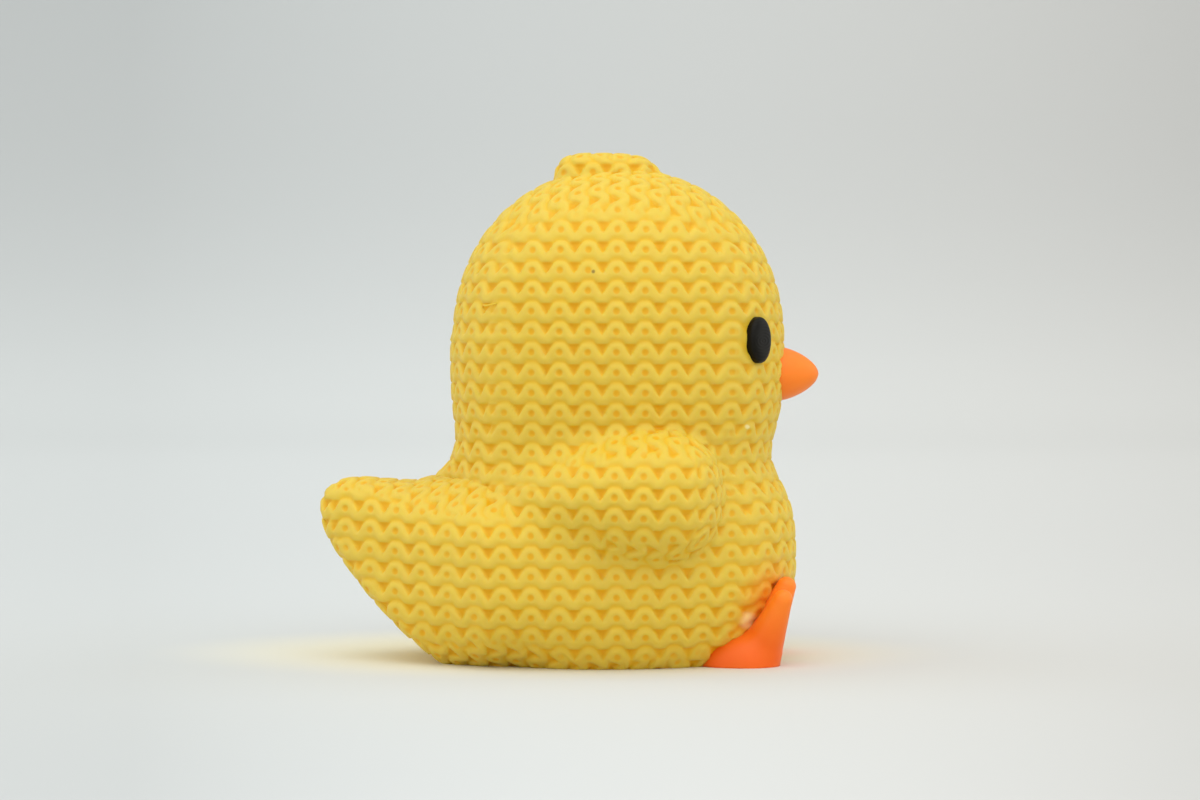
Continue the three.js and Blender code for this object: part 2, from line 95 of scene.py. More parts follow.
class Wire:
    """One output of a node tree. Python's operators on it add the tree's Math nodes."""

    def __init__(self, tree, socket=None):
        self.tree = tree
        self.socket = socket

    def node(self, kind, settings=None, sockets=None, out=0):
        """Adds a node: first its settings, then the values or wires of its sockets."""
        made = self.tree.nodes.new(kind)
        for name, value in (settings or {}).items():
            setattr(made, name, value)
        live = [socket for socket in made.inputs if socket.enabled]
        for key, value in (sockets or {}).items():
            named = live[key] if isinstance(key, int) else next(s for s in live if s.name == key)
            if isinstance(value, Wire):
                self.tree.links.new(value.socket, named)
            else:
                named.default_value = value
        outputs = [socket for socket in made.outputs if socket.enabled]
        if isinstance(out, int):
            found = outputs[out] if outputs else None
        else:
            found = next(s for s in outputs if s.name == out)
        return Wire(self.tree, found)

    def maths(self, operation, *values):
        return self.node("ShaderNodeMath", {"operation": operation}, dict(enumerate(values)))

    def __add__(self, other):
        return self.maths("ADD", self, other)

    def __radd__(self, other):
        return self.maths("ADD", other, self)

    def __sub__(self, other):
        return self.maths("SUBTRACT", self, other)

    def __rsub__(self, other):
        return self.maths("SUBTRACT", other, self)

    def __mul__(self, other):
        return self.maths("MULTIPLY", self, other)

    def __rmul__(self, other):
        return self.maths("MULTIPLY", other, self)

    def __truediv__(self, other):
        return self.maths("DIVIDE", self, other)

    def __pow__(self, other):
        return self.maths("POWER", self, other)

    def __abs__(self):
        return self.maths("ABSOLUTE", self)

    def cosine(self):
        return self.maths("COSINE", self)

    def fraction(self):
        return self.maths("FRACT", self)

    def at_least(self, other):
        return self.maths("MAXIMUM", self, other)

    def at_most(self, other):
        return self.maths("MINIMUM", self, other)

    def eased(self, low, high):
        """0 at low, 1 at high and soft in between."""
        return self.node(
            "ShaderNodeMapRange",
            {"interpolation_type": "SMOOTHSTEP"},
            {"Value": self, "From Min": low, "From Max": high},
        )

    def parts(self):
        """The three numbers of a vector."""
        split = self.tree.nodes.new("ShaderNodeSeparateXYZ")
        self.tree.links.new(self.socket, split.inputs[0])
        return [Wire(self.tree, socket) for socket in split.outputs]

    def blended(self, first, second):
        """A colour between two others, by this wire."""
        return self.node(
            "ShaderNodeMix", {"data_type": "RGBA"}, {"Factor": self, "A": first, "B": second}
        )


def material_of(name, **constants):
    """A material, its tree as a wire to build on, and its shader with the constants set."""
    made = bpy.data.materials.new(name)
    made.use_nodes = True
    shader = made.node_tree.nodes["Principled BSDF"]
    for socket, value in constants.items():
        shader.inputs[socket.replace("_", " ")].default_value = value
    return made, Wire(made.node_tree), shader


def sheet_material():
    """Matt white, a little cooler on the left, lit less towards its sides and corners, and
    yellow close round the chick, where its own light falls back on it."""
    made, tree, shader = material_of("pale_sheet", Roughness=0.9)
    x, y, z = tree.node("ShaderNodeTexCoord", out="Object").parts()
    aside = (x - light_pool_start[0]) / (y - light_pool_start[1]).at_least(light_pool_near_end)
    aside = aside.at_least(-light_pool_half_width).at_most(light_pool_half_width)
    level = y.eased(*sheet_under_span) * sheet_under_rise + sheet_near_level
    level = level + y.eased(*sheet_far_span) * sheet_far_rise
    level = level - y.eased(*sheet_back_span) * sheet_back_fall
    fall = side_fall + z.at_most(side_fall_top) * side_fall_with_height
    fall = fall + y.eased(*side_front_span) * side_fall_in_front
    level = level * (1 - aside**2 * fall) * (1 - aside * left_gain)
    tint = aside.eased(-sheet_colour_span, sheet_colour_span)
    tint = tint.blended(sheet_left_colour, sheet_right_colour)
    colour = tree.node(
        "ShaderNodeVectorMath", {"operation": "SCALE"}, {"Vector": tint, "Scale": level}
    )
    along = (x - bounce_at[0]) / bounce_reach[0]
    behind = (y - bounce_at[1]) / bounce_reach[1]
    bounce = ((along**2 + behind**2) ** 0.5).eased(1.1, 0.3) * bounce_share
    colour = bounce.blended(colour, bounce_colour)
    made.node_tree.links.new(colour.socket, shader.inputs["Base Color"])
    return made


def sheet_line():
    """The sheet's run seen from the side, as places along Y and Z."""
    line = [(sheet_front, 0)]
    for step in range(sheet_bend_steps + 1):
        angle = step / sheet_bend_steps * math.pi / 2
        line.append(
            (
                sheet_bend_start + sheet_bend_radius * math.sin(angle),
                sheet_bend_radius * (1 - math.cos(angle)),
            )
        )
    return line + [(sheet_bend_start + sheet_bend_radius, sheet_top)]


sheet_mesh = bpy.data.meshes.new("floor_sheet")
sheet_points = [(side * sheet_half_width, y, z) for y, z in sheet_line() for side in (-1, 1)]
sheet_faces = [(i, i + 1, i + 3, i + 2) for i in range(0, len(sheet_points) - 2, 2)]
sheet_mesh.from_pydata(sheet_points, [], sheet_faces)
sheet_mesh.shade_smooth()
sheet = bpy.data.objects.new("floor_sheet", sheet_mesh)
sheet_mesh.materials.append(sheet_material())
bpy.context.scene.collection.objects.link(sheet)


# Light: an even pale surround, as in a light tent, with one wide soft lamp above.
surround = bpy.data.worlds.new("soft_surround")
surround.use_nodes = True
surround.node_tree.nodes["Background"].inputs["Color"].default_value = (0.965, 0.98, 0.985, 1)
surround.node_tree.nodes["Background"].inputs["Strength"].default_value = 1.22
bpy.context.scene.world = surround

lamp_data = bpy.data.lights.new("overhead_lamp", "AREA")
lamp_data.shape = "RECTANGLE"
lamp_data.size = 1.5
lamp_data.size_y = 1.1
lamp_data.energy = 4
lamp = bpy.data.objects.new("overhead_lamp", lamp_data)
lamp.location = (0.05, -0.6, 1.05)
lamp.rotation_euler = (math.radians(30), math.radians(3), 0)
bpy.context.scene.collection.objects.link(lamp)


# Knitted body: head, torso, tail, both wings and the tuft, printed as one hard yellow plastic
# body with a relief of knitted stitches. It stands on a flat seat, and a fine thread of
# plastic has stayed on its head. Sizes from here on are millimetres.
head = {"at": (7, 0, 47), "front": 24.6, "back": 24.4, "side": 23.3, "up": 25.9, "down": 19.5}
head_powers = (2.15, 3.4)
torso = {"at": (4, 0, 15), "front": 29.4, "back": 22, "side": 23.8, "up": 19.5, "down": 20}
torso_powers = (2.9, 2.4)
tuft = {"at": (3.5, 0, 70.3), "front": 9.7, "back": 5.7, "side": 6.3, "up": 4.9, "down": 5}
tuft_powers = (3.6, 2.4)
wing_at = (11.2, 17, 25.1)
wing_front, wing_back, wing_side, wing_up, wing_down = 11.4, 17, 13, 10.2, 10.2
wing_power = 2.1
wing_power_change = 0.3
wing_power_run = 8
neck_at = 6.4
neck_reach = 23.3
neck_side = 21.8
neck_softness = 2.2
tail_top = 26.2
tail_top_rise = 0.09
tail_top_bend_at = -24
tail_top_power = 4
tail_seat_power = 2.4
tail_under_slope = 0.78
tail_tip_at = -38.4
tail_tip_height = 21.5
tail_tip_half_width = 1.3
tail_spread = 0.84
tail_foot_at = -22.6
tail_foot_height = 3.4
tail_under_bulge = 1.3
tail_widest_height = 13
tail_seat_rounding = 15
tail_top_rounding = 0.8
tail_root_at = -14
tail_root_run = 6
tail_root_low = 20
tail_root_high = 26
tail_root_flank_run = 8
tail_edge_softness = 3
tail_tip_softness = 8
tail_flank_softness = 2
tail_root_softness = 6
tail_root_half_width = 19
wing_softness = 1.4
wing_back_softness = 3
tuft_softness = 0.8

eye_at = [(a + b) / 2 for a, b in zip(*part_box("eye_left"))]
eye_clearing = 3.3
eye_clearing_run = 1.2
relief_at_eye = 0.3
foot_at = 10.75

# Each row of the knit is a line of arches. There is a dot under each peak, and a gap that
# points down between two peaks. The shares are of a row, and the bends are at a peak.
stitch_width = 4.08
row_height = 2.93
side_peak_at = 3.55
peak_row_at = 53.5
ridge_rise = 0.34
groove_drop = 0.12
small_pit = 0.25
large_pit = 0.42
arch_fullness = 1.7
groove_bend = 0.62
crest_share = 0.48
crest_bend = 0.3
dot_down_share = 0.55
dot_radius = 0.36
dot_edge = 3.4
# How strongly a dot takes the painted shade of the pits.
dot_shade_share = 0.85
gap_top_share = 0.08
gap_length = 1.8
gap_half_width = 0.95
gap_edge = (-0.3, 0.4)
gap_top_edge = 0.4
seam_sharpness = 9.0


def lump(x, y, z, shape, powers):
    """How far outside a rounded lump a place is, below zero inside it."""
    dx, dy, dz = x - shape["at"][0], y - shape["at"][1], z - shape["at"][2]
    reach = np.where(dx > 0, shape["front"], shape["back"])
    rise = np.where(dz > 0, shape["up"], shape["down"])
    power = np.where(dz > 0, *powers)
    flat = np.hypot(dx / reach, dy / shape["side"])
    gauge = (flat**power + np.abs(dz / rise) ** power) ** (1 / power)
    distance = np.sqrt(dx**2 + dy**2 + dz**2)
    return distance * (1 - 1 / np.maximum(gauge, 1e-6))


def joined(a, b, softness):
    """Two forms as one, with the crease between them rounded."""
    near = np.maximum(softness - np.abs(a - b), 0) / softness
    return np.minimum(a, b) - near**2 * softness / 4


def shared(a, b, softness):
    """What two forms share, with the edge between them rounded."""
    return -joined(-a, -b, softness)


def tail_form(x, y, z):
    """A wedge that runs straight back, with straight flanks and a slanted underside."""
    spread = np.minimum(tail_tip_half_width + (x - tail_tip_at) * tail_spread, torso["side"])
    top_at = tail_top + tail_top_rise * np.maximum(tail_top_bend_at - x, 0)
    headroom = top_at + tail_top_rounding - tail_widest_height
    above = np.maximum(z - tail_widest_height, 0) / headroom
    below = np.maximum(tail_widest_height - z, 0) / tail_seat_rounding
    upright = np.maximum(1 - above**tail_top_power, 0)
    upright = upright * np.maximum(1 - below**tail_seat_power, 0)
    spread = spread * np.sqrt(upright)
    flank = (np.abs(y) - spread) / math.hypot(1, tail_spread)
    share = (tail_tip_height - z) / (tail_tip_height - tail_foot_height)
    under_at = tail_tip_at + (tail_foot_at - tail_tip_at) * share
    under_at = under_at - 4 * tail_under_bulge * np.clip(share * (1 - share), -0.2, 1)
    under = (under_at - x) * tail_under_slope
    side_on = shared(z - top_at, tail_tip_at - x, tail_tip_softness)
    side_on = shared(side_on, under, tail_edge_softness)
    wedge = shared(flank, side_on, tail_flank_softness)
    return np.maximum(wedge, x - torso["at"][0])


def wing_form(x, y, z):
    """A lump on each side, full in front and drawn out to the back."""
    dx, dy, dz = x - wing_at[0], np.abs(y) - wing_at[1], z - wing_at[2]
    power = wing_power + wing_power_change * np.clip(dx / wing_power_run, -1, 1)
    flat = np.abs(dx / np.where(dx > 0, wing_front, wing_back)) ** power
    out = np.abs(dy / wing_side) ** power
    tall = np.abs(dz / np.where(dz > 0, wing_up, wing_down)) ** power
    gauge = (flat + out + tall) ** (1 / power)
    return np.sqrt(dx**2 + dy**2 + dz**2) * (1 - 1 / np.maximum(gauge, 1e-6))


def body_form(x, y, z):
    """The whole body under its stitches."""
    flat = np.hypot((x - neck_at) / neck_reach, y / neck_side)
    column = np.hypot(x - neck_at, y) * (1 - 1 / np.maximum(flat, 1e-6))
    neck = np.maximum(column, np.maximum(torso["at"][2] - z, z - head["at"][2]))
    upper = joined(lump(x, y, z, head, head_powers), neck, neck_softness)
    trunk = joined(upper, lump(x, y, z, torso, torso_powers), neck_softness)
    root = np.clip((z - tail_root_low) / (tail_root_high - tail_root_low), 0, 1)
    root = root * np.clip((tail_root_at + tail_root_run - x) / tail_root_run, 0, 1)
    root = root * np.clip((tail_root_half_width - np.abs(y)) / tail_root_flank_run, 0, 1)
    softness = neck_softness + tail_root_softness * root
    trunk = joined(trunk, tail_form(x, y, z), softness)
    softness = wing_softness + wing_back_softness * np.clip((wing_at[0] - x) / wing_back, 0, 1)
    trunk = joined(trunk, wing_form(x, y, z), softness)
    return joined(trunk, lump(x, y, z, tuft, tuft_powers), tuft_softness)


slope_step = 0.02
seating_rounds = 4
smoothing_rounds = (12, 6, 3, 2)


def slope_of(form, points):
    """The direction out of a form at each point, with its steepness."""
    step = slope_step
    x, y, z = points.T
    return np.stack(
        [
            form(x + step, y, z) - form(x - step, y, z),
            form(x, y + step, z) - form(x, y - step, z),
            form(x, y, z + step) - form(x, y, z - step),
        ],
        axis=1,
    ) / (2 * step)


def seated(form, points):
    """Points moved straight onto a form."""
    for _ in range(seating_rounds):
        slope = slope_of(form, points)
        height = form(*points.T)[:, None]
        move = height * slope / np.maximum((slope**2).sum(1, keepdims=True), 0.05)
        points = points - np.clip(move, -1, 1)
    return points


def net_over(form, low, high, cell):
    """Points and four-sided faces of a loose net over a form."""
    axes = [np.arange(a, b + cell, cell) for a, b in zip(low, high)]
    places = np.stack(np.meshgrid(*axes, indexing="ij"), axis=-1)
    inside = form(places[..., 0], places[..., 1], places[..., 2]) < 0
    corners = sum(
        inside[i : i - 1 or None, j : j - 1 or None, k : k - 1 or None].astype(int)
        for i in (0, 1)
        for j in (0, 1)
        for k in (0, 1)
    )
    crossed = (corners > 0) & (corners < 8)
    number = np.full(crossed.shape, -1)
    number[crossed] = np.arange(crossed.sum())
    points = places[:-1, :-1, :-1][crossed] + cell / 2
    faces = []
    unit = np.eye(3, dtype=int)
    for axis in range(3):
        b, c = unit[(axis + 1) % 3], unit[(axis + 2) % 3]
        here = inside.take(range(inside.shape[axis] - 1), axis)
        ahead = inside.take(range(1, inside.shape[axis]), axis)
        edges = np.argwhere(here != ahead)
        edges = edges[(edges @ (b + c) > 0) & (edges @ b > 0) & (edges @ c > 0)]
        ring = [number[tuple((edges - shift).T)] for shift in (b + c, c, 0 * b, b)]
        quads = np.stack(ring, axis=1)
        inward = ~inside[tuple(edges.T)]
        quads[inward] = quads[inward][:, ::-1]
        faces.append(quads)
    return points, np.concatenate(faces)


def mesh_over(name, form, low, high, cell, halvings, floor_cut):
    """An even mesh over a form, in metres: a loose net, halved a few times, smoothed and
    seated on the form after each time. It is open below the floor cut."""
    points, faces = net_over(form, low, high, cell)
    faces = faces[points[faces][:, :, 2].mean(1) > floor_cut]
    mesh = bpy.data.meshes.new(name)
    mesh.from_pydata(points, [], faces.tolist())
    for level in range(halvings + 1):
        work = bmesh.new()
        work.from_mesh(mesh)
        if level:
            bmesh.ops.subdivide_edges(work, edges=work.edges, cuts=1, use_grid_fill=True)
        loose = [v for v in work.verts if not v.link_faces]
        bmesh.ops.delete(work, geom=loose, context="VERTS")
        rim = np.array([v.is_boundary for v in work.verts])
        work.to_mesh(mesh)
        work.free()
        edges = np.empty(len(mesh.edges) * 2, np.int32)
        mesh.edges.foreach_get("vertices", edges)
        edges = edges.reshape(-1, 2)
        points = np.empty(len(mesh.vertices) * 3)
        mesh.vertices.foreach_get("co", points)
        points = points.reshape(-1, 3)
        near = np.bincount(edges.ravel(), minlength=len(points))[:, None]
        for _ in range(smoothing_rounds[level]):
            total = np.zeros_like(points)
            np.add.at(total, edges[:, 0], points[edges[:, 1]])
            np.add.at(total, edges[:, 1], points[edges[:, 0]])
            moved = seated(form, (points + total / near) / 2)
            points = np.where(rim[:, None], points, moved)
        mesh.vertices.foreach_set("co", points.ravel())
    mesh.vertices.foreach_set("co", (points * mm).ravel())
    mesh.update()
    return mesh


def yarn(across, down, size):
    """How high the yarn stands at a place in the knit, and how far into a pit the place is."""
    aside = abs((across / size["Stitch Width"] + 0.5).fraction() - 0.5)
    row = down / size["Row Height"]
    bell = 0.5 - ((aside * 2) ** arch_fullness * math.pi).cosine() * 0.5
    phase = (row - bell * groove_bend).fraction()
    crest = bell * (crest_bend - groove_bend) + crest_share
    rise = (1 - phase / crest).at_least(0) ** 2
    fall = ((phase - crest) / (1 - crest)).at_least(0) ** 2
    ridge = (1 - rise - fall).eased(-0.25, 1)
    from_dot = ((row + 0.5 - dot_down_share).fraction() - 0.5) * size["Row Height"]
    from_peak = aside * size["Stitch Width"]
    dot = (from_peak / (dot_radius * mm)) ** 2 + (from_dot / (dot_radius * mm)) ** 2
    dot = dot.eased(dot_edge, 0)
    below_top = (row - gap_top_share).fraction() * size["Row Height"]
    half_width = (1 - below_top / (gap_length * mm)) * (gap_half_width * mm)
    from_valley = (0.5 - aside) * size["Stitch Width"]
    gap = (half_width - from_valley).eased(gap_edge[0] * mm, gap_edge[1] * mm)
    gap = gap * below_top.eased(0, gap_top_edge * mm)
    height = ridge * (size["Ridge Rise"] + size["Groove Drop"]) - size["Groove Drop"]
    height = height - dot * size["Small Pit"] - gap * size["Large Pit"]
    return height, dot * dot_shade_share + gap


def knit_relief(place, normal, size):
    """The knit laid on a form from the side that it faces most: from the left or right,
    from the front or back, or from above. Where two of them meet they run together."""
    x, y, z = place.parts()
    weights = [abs(part) ** size["Seam Sharpness"] for part in normal.parts()]
    down = peak_row_at * mm - z
    laid = (yarn(y, down, size), yarn(x - side_peak_at * mm, down, size), yarn(y, x, size))
    total = weights[0] + weights[1] + weights[2]
    relief, pit = [
        (weights[0] * a + weights[1] * b + weights[2] * c) / total for a, b, c in zip(*laid)
    ]
    offset = (x - eye_at[0]) ** 2 + (abs(y) - eye_at[1]) ** 2 + (z - eye_at[2]) ** 2
    away = (offset**0.5).eased(eye_clearing * mm, (eye_clearing + eye_clearing_run) * mm)
    return relief * (away * (1 - relief_at_eye) + relief_at_eye), pit * away


knit_sizes = {
    "Stitch Width": stitch_width * mm,
    "Row Height": row_height * mm,
    "Ridge Rise": ridge_rise * mm,
    "Groove Drop": groove_drop * mm,
    "Small Pit": small_pit * mm,
    "Large Pit": large_pit * mm,
    "Seam Sharpness": seam_sharpness,
}


def knit_tree(name):
    """Geometry nodes that raise the knit on a smooth form. The form's own places and normals
    stay on the mesh, so that its material can follow the same stitches."""
    tree = bpy.data.node_groups.new(name, "GeometryNodeTree")
    tree.interface.new_socket("Geometry", in_out="INPUT", socket_type="NodeSocketGeometry")
    for label, value in knit_sizes.items():
        socket = tree.interface.new_socket(label, in_out="INPUT", socket_type="NodeSocketFloat")
        socket.default_value = value
    tree.interface.new_socket("Material", in_out="INPUT", socket_type="NodeSocketMaterial")
    tree.interface.new_socket("Geometry", in_out="OUTPUT", socket_type="NodeSocketGeometry")
    entry = tree.nodes.new("NodeGroupInput")
    given = {socket.name: Wire(tree, socket) for socket in entry.outputs if socket.name}
    build = Wire(tree)
    place = build.node("GeometryNodeInputPosition")
    normal = build.node("GeometryNodeInputNormal")
    shape = given["Geometry"]
    for label, value in (("form_place", place), ("form_normal", normal)):
        shape = build.node(
            "GeometryNodeStoreNamedAttribute",
            {"data_type": "FLOAT_VECTOR", "domain": "POINT"},
            {"Geometry": shape, "Name": label, "Value": value},
        )
    offset = build.node(
        "ShaderNodeVectorMath",
        {"operation": "SCALE"},
        {"Vector": normal, "Scale": knit_relief(place, normal, given)[0]},
    )
    shape = build.node("GeometryNodeSetPosition", {}, {"Geometry": shape, "Offset": offset})
    shape = build.node("GeometryNodeSetShadeSmooth", {}, {"Geometry": shape})
    shape = build.node("GeometryNodeRealizeInstances", {}, {"Geometry": shape})
    sockets = {"Geometry": shape, "Material": given["Material"]}
    shape = build.node("GeometryNodeSetMaterial", {}, sockets)
    leave = tree.nodes.new("NodeGroupOutput")
    tree.links.new(shape.socket, leave.inputs[0])
    return tree


# The crest colour is the yellow itself. The groove and pit colours are painted shade: deeper,
# more orange yellow where the knit sinks in.
crest_colour = (0.72, 0.515, 0.06, 1)
groove_shade_colour = (0.77, 0.48, 0.022, 1)
pit_shade_colour = (0.77, 0.4, 0.002, 1)
crest_level, groove_level = 0.32, -0.1
# The yellow turns more orange close to the toes: the colour, the centre, the two radii and the
# share.
toe_orange_colour = (0.8, 0.26, 0.012, 1)
toe_orange_at = (30.5, foot_at, 7.5)
toe_orange_edge, toe_orange_full = 10, 3
toe_orange_share = 0.6
yellow_roughness = 0.44
yellow_roughness_spread = 0.16
yellow_grain_depth = 0.04
# Small marks on the right side, each by its place along X and up, its radius and its share.
marks = {
    "dark speck on the head": (4.3, 57.5, 0.36, 0.75, (0.2, 0.12, 0.03, 1)),
    "pale fleck on the neck": (26.2, 35.1, 0.42, 0.45, (0.95, 0.85, 0.55, 1)),
    "pale patch by the foot": (26.4, 6.8, 1.6, 0.6, (0.95, 0.78, 0.4, 1)),
}


def yellow_plastic():
    """Satin yellow plastic, made deeper and more orange down in the grooves and pits by painted
    shade, and more orange close to the toes.
    """
    made, tree, shader = material_of(
        "yellow_plastic",
        Specular_IOR_Level=0.3,
        Subsurface_Weight=0.6,
        Subsurface_Scale=0.0006,
        Subsurface_Radius=(1, 0.7, 0.2),
    )
    place = tree.node("ShaderNodeAttribute", {"attribute_name": "form_place"}, out="Vector")
    normal = tree.node("ShaderNodeAttribute", {"attribute_name": "form_normal"}, out="Vector")
    relief, pit = knit_relief(place, normal, knit_sizes)
    # Painted shade: the grooves, dots and gaps take deeper, more orange colours.
    low = relief.eased(crest_level * mm, groove_level * mm)
    colour = low.blended(crest_colour, groove_shade_colour)
    colour = pit.eased(0, 1).blended(colour, pit_shade_colour)
    x, y, z = place.parts()
    # More orange close to the toes.
    from_toes = [part - at * mm for part, at in zip((x, abs(y), z), toe_orange_at)]
    from_toes = (from_toes[0] ** 2 + from_toes[1] ** 2 + from_toes[2] ** 2) ** 0.5
    toe_orange = from_toes.eased(toe_orange_edge * mm, toe_orange_full * mm) * toe_orange_share
    colour = toe_orange.blended(colour, toe_orange_colour)
    right_side = y.eased(0, -5 * mm)
    for mark_x, mark_z, radius, share, mark_colour in marks.values():
        offset = ((x - mark_x * mm) ** 2 + (z - mark_z * mm) ** 2) ** 0.5
        here = offset.eased(radius * mm, radius * 0.4 * mm) * right_side * share
        colour = here.blended(colour, mark_colour)
    made.node_tree.links.new(colour.socket, shader.inputs["Base Color"])
    patches = tree.node("ShaderNodeTexNoise", {}, {"Vector": place, "Scale": 160.0})
    roughness = patches * yellow_roughness_spread + yellow_roughness
    made.node_tree.links.new(roughness.socket, shader.inputs["Roughness"])
    grain = tree.node("ShaderNodeTexNoise", {}, {"Vector": place, "Scale": 1400.0})
    height = relief + grain * (yellow_grain_depth * mm)
    bump = tree.node(
        "ShaderNodeBump", {}, {"Strength": 0.15, "Distance": 1.0, "Height": height}
    )
    made.node_tree.links.new(bump.socket, shader.inputs["Normal"])
    return made


def cut_flat(mesh):
    """Cuts a mesh off level at the floor, drops the crumbs of yarn that this leaves there,
    and closes the mesh with one flat face."""
    work = bmesh.new()
    work.from_mesh(mesh)
    everything = [*work.verts, *work.edges, *work.faces]
    bmesh.ops.bisect_plane(
        work, geom=everything, plane_co=(0, 0, 0), plane_no=(0, 0, -1), clear_outer=True
    )
    kept = set()
    waiting = [max(work.verts, key=lambda vert: vert.co.z)]
    while waiting:
        vert = waiting.pop()
        if vert not in kept:
            kept.add(vert)
            waiting.extend(edge.other_vert(vert) for edge in vert.link_edges)
    crumbs = [vert for vert in work.verts if vert not in kept]
    bmesh.ops.delete(work, geom=crumbs, context="VERTS")
    rim = [edge for edge in work.edges if edge.is_boundary]
    bmesh.ops.contextual_create(work, geom=rim)
    bmesh.ops.recalc_face_normals(work, faces=work.faces)
    work.to_mesh(mesh)
    work.free()
    mesh.shade_smooth()
    mesh.update()


# The stray thread lies across the back of the head, with its two ends in the plastic.
wisp_at = [(-13, -14, 52.5), (-12.2, -14.8, 52.8), (-11.3, -15.6, 52.7), (-10.2, -16.4, 53.1)]
wisp_rise = (-0.2, 0.55, 0.75, 0.1)
wisp_radius = 0.13
wisp_rings = 13
wisp_sides = 6


def add_wisp(mesh):
    """Adds the fine stray thread of plastic that the printer left on the head."""
    line = seated(body_form, np.array(wisp_at, float))
    outward = slope_of(body_form, line)
    outward /= np.linalg.norm(outward, axis=1, keepdims=True)
    line = line + outward * np.array(wisp_rise)[:, None]
    steps = np.linspace(0, len(line) - 1, wisp_rings)
    path = np.stack([np.interp(steps, range(len(line)), part) for part in line.T], axis=1)
    work = bmesh.new()
    work.from_mesh(mesh)
    place_layer = work.verts.layers.float_vector["form_place"]
    normal_layer = work.verts.layers.float_vector["form_normal"]
    rings = []
    for i, centre in enumerate(path):
        radius = wisp_radius * math.sin(math.pi * (i + 1.5) / (wisp_rings + 2)) ** 0.5
        ring = []
        for turn in range(wisp_sides):
            angle = turn / wisp_sides * 2 * math.pi
            spread = outward[1] * math.cos(angle) + np.array([0, 0, 1]) * math.sin(angle)
            vert = work.verts.new((centre + spread * radius) * mm)
            vert[place_layer] = centre * mm
            vert[normal_layer] = outward[1]
            ring.append(vert)
        rings.append(ring)
    for a, b in zip(rings, rings[1:]):
        for turn in range(wisp_sides):
            work.faces.new([a[turn], a[turn - 1], b[turn - 1], b[turn]])
    work.faces.new(rings[0])
    work.faces.new(rings[-1][::-1])
    bmesh.ops.recalc_face_normals(work, faces=work.faces)
    work.to_mesh(mesh)
    work.free()
    mesh.shade_smooth()
    mesh.update()


def finished(name, mesh, slot, *nodes):
    """Puts a finished mesh in the scene in place of the nodes that it stands for."""
    piece = bpy.data.objects.new(name, mesh)
    bpy.context.scene.collection.objects.link(piece)
    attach(piece, "root")
    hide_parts(*nodes)
    return piece


def box_of(node, margin):
    """The corners of a node's box in millimetres, with some room round it."""
    low, high = (np.array(corner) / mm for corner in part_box(node))
    return low - margin, high + margin


body_cell = 3.55
body_halvings = 3
body_floor_cut = -4
body_low, body_high = box_of("knitted_body", 6)
base_mesh = mesh_over(
    "body_form", body_form, body_low, body_high, body_cell, body_halvings, body_floor_cut
)
base_object = bpy.data.objects.new("body_form", base_mesh)
bpy.context.scene.collection.objects.link(base_object)
knit = base_object.modifiers.new("knit", "NODES")
knit.node_group = knit_tree("knit_relief")
for item in knit.node_group.interface.items_tree:
    if item.name == "Material":
        knit[item.identifier] = yellow_plastic()
depsgraph = bpy.context.evaluated_depsgraph_get()
knit_mesh = bpy.data.meshes.new_from_object(base_object.evaluated_get(depsgraph))
base_object.modifiers.remove(knit)
bpy.data.objects.remove(base_object)
cut_flat(knit_mesh)
add_wisp(knit_mesh)
finished("knit_body", knit_mesh, "knitted_body", "knitted_body")


# Beak: a smooth solid cone with a blunt tip, printed in orange plastic and set in a round
# socket in the face. The feet are of the same plastic.
# The orange is darker near the floor as painted shade: that colour and the heights over which it
# fades out.
orange_floor_shade_colour = (0.86, 0.12, 0.002, 1)
orange_colour = (1, 0.23, 0.014, 1)
orange_floor_shade_span = (1, 11)
mottle_colour = (1, 0.33, 0.05, 1)
mottle_share = 0.12
fleck_colour = (0.12, 0.03, 0.01, 1)
fleck_at = (33, -10.5, 13.1)
fleck_edge, fleck_full = 0.6, 0.25
fleck_share = 0.8
beak_length = 6.1
beak_radius = 4.05
beak_breadth = 1.1
beak_bulge = 1.5
beak_taper = 0.6
beak_root_depth = 2.5
beak_tip_softness = 0.6


def orange_plastic(name):
    """Satin orange plastic, darker and deeper near the floor in painted shade, with a dark fleck
    on one toe.
    """
    made, tree, shader = material_of(
        name,
        Roughness=0.42,
        Specular_IOR_Level=0.28,
        Subsurface_Weight=0.2,
        Subsurface_Scale=0.002,
    )
    place = tree.node("ShaderNodeTexCoord", out="Object")
    x, y, z = place.parts()
    # Painted shade: a darker, deeper orange towards the floor.
    shade = z.eased(orange_floor_shade_span[0] * mm, orange_floor_shade_span[1] * mm)
    colour = shade.blended(orange_floor_shade_colour, orange_colour)
    mottle = tree.node("ShaderNodeTexNoise", {}, {"Vector": place, "Scale": 220.0})
    colour = (mottle * mottle_share).blended(colour, mottle_colour)
    offset = [part - at * mm for part, at in zip((x, y, z), fleck_at)]
    offset = (offset[0] ** 2 + offset[1] ** 2 + offset[2] ** 2) ** 0.5
    fleck = offset.eased(fleck_edge * mm, fleck_full * mm) * fleck_share
    colour = fleck.blended(colour, fleck_colour)
    made.node_tree.links.new(colour.socket, shader.inputs["Base Color"])
    return made


def beak_form(x, y, z):
    """A cone that bulges a little, flatter than it is wide."""
    low, high = box_of("beak", 0)
    root = high[0] - beak_length
    share = np.clip((x - root) / beak_length, 0, 0.999)
    radius = beak_radius * (1 - share**beak_bulge) ** beak_taper
    from_axis = np.hypot(y / beak_breadth, z - (low[2] + high[2]) / 2)
    ends = np.maximum(x - high[0], root - beak_root_depth - x)
    return shared(from_axis - radius, ends, beak_tip_softness)


